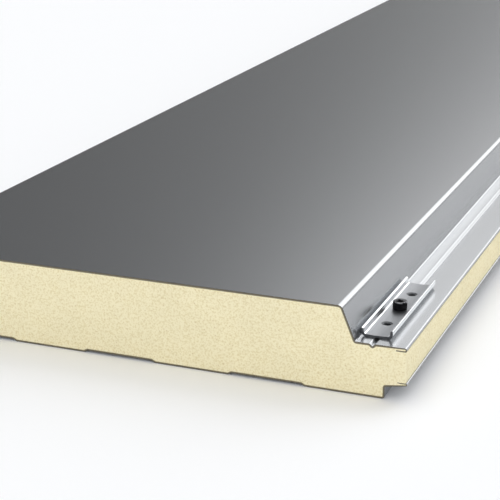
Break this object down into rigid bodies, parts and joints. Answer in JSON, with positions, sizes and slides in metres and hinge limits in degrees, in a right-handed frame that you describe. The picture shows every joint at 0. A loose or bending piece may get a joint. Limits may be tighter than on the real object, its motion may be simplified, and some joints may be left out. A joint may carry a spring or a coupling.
{
  "type": "insulated sandwich panel",
  "caption": "Flat insulated facade panel: coated steel facings on rigid foam, tongue-and-groove long edges, hidden-fixing pocket with channel plate and screw.",
  "frame": {"origin": "middle of the panel's whole box in plan, on the plane of the inner facing's low flats, which it lies on", "axes": "+Y along the panel, from the end with the fixing plate; +X across it, from the female edge to the male edge; +Z out of the outer facing"},
  "size_m": [0.6402, 3, 0.1],
  "materials": {
    "outer_facing": "satin",
    "inner_facing": "satin",
    "foam": "matte",
    "gasket": "matte",
    "fixing_plate": "satin",
    "fixing_screw": "satin"
  },
  "bodies": {
    "root": {"outer_facing": "outer_facing", "inner_facing": "inner_facing", "foam_core": "foam", "joint_gasket": "gasket", "fixing_plate": "fixing_plate", "fixing_screw": "fixing_screw"}
  },
  "joints": []
}
